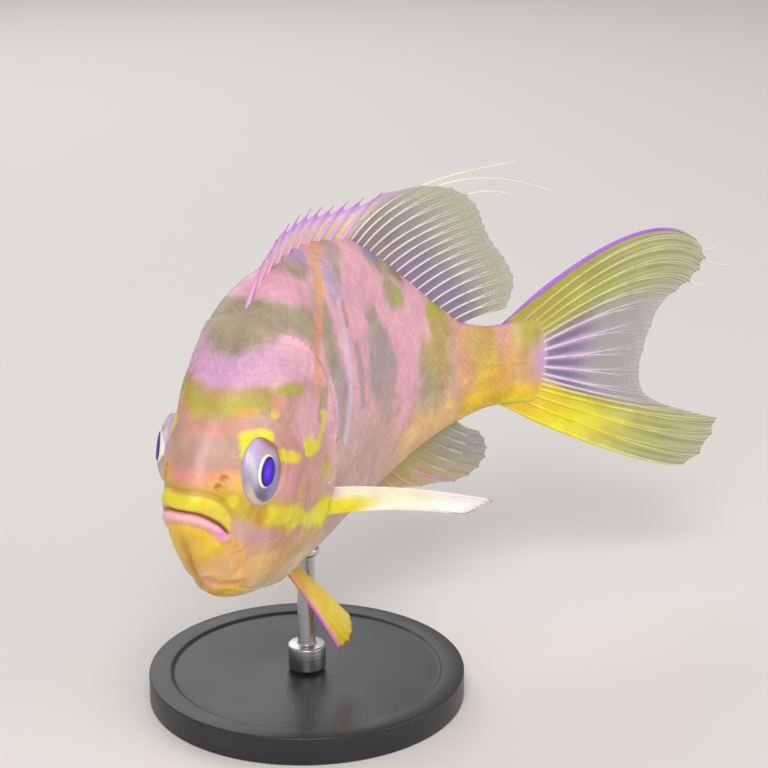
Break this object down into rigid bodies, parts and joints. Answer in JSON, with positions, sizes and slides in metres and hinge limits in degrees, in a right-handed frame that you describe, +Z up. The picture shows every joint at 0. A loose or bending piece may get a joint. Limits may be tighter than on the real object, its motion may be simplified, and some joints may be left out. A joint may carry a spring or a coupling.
{
  "type": "blotched swallowtail anthias",
  "caption": "Life-size still model of a small deep-bodied reef fish with a forked tail, held in a turning swim by a rod on a round base.",
  "frame": {"origin": "middle of the underside of the stand's round base", "axes": "+Z up; the fish swims towards -X with its tail towards +X, its head turned 20 degrees to its left of -X and its tail swung towards -Y"},
  "size_m": [0.1256, 0.0556, 0.0799],
  "materials": {
    "face_skin": "moist scaled skin, peach and pink with yellow bands and an olive band",
    "flank_skin": "moist scaled skin, rose pink with olive grey blotches",
    "stalk_skin": "moist scaled skin, pink turning to olive and orange",
    "eye": "wet and clear over a silvery iris and a violet pupil",
    "dorsal_membrane": "thin rayed membrane, magenta spines and pale rays",
    "anal_membrane": "thin rayed membrane, olive",
    "caudal_membrane": "thin rayed membrane, yellow green with a violet edge",
    "pectoral_membrane": "thin rayed membrane, cream with a yellow root",
    "pelvic_membrane": "thin rayed membrane, yellow with a magenta front edge",
    "stand_base_paint": "satin black",
    "stand_rod_steel": "brushed"
  },
  "bodies": {
    "root": {"head": "face_skin", "torso": "flank_skin", "tail": "stalk_skin", "eye_left": "eye", "eye_right": "eye", "dorsal_fin": "dorsal_membrane", "anal_fin": "anal_membrane", "caudal_fin_upper": "caudal_membrane", "caudal_fin_lower": "caudal_membrane", "pectoral_fin_left": "pectoral_membrane", "pectoral_fin_right": "pectoral_membrane", "pelvic_fin_left": "pelvic_membrane", "pelvic_fin_right": "pelvic_membrane", "stand_base": "stand_base_paint", "stand_rod": "stand_rod_steel"}
  },
  "joints": []
}
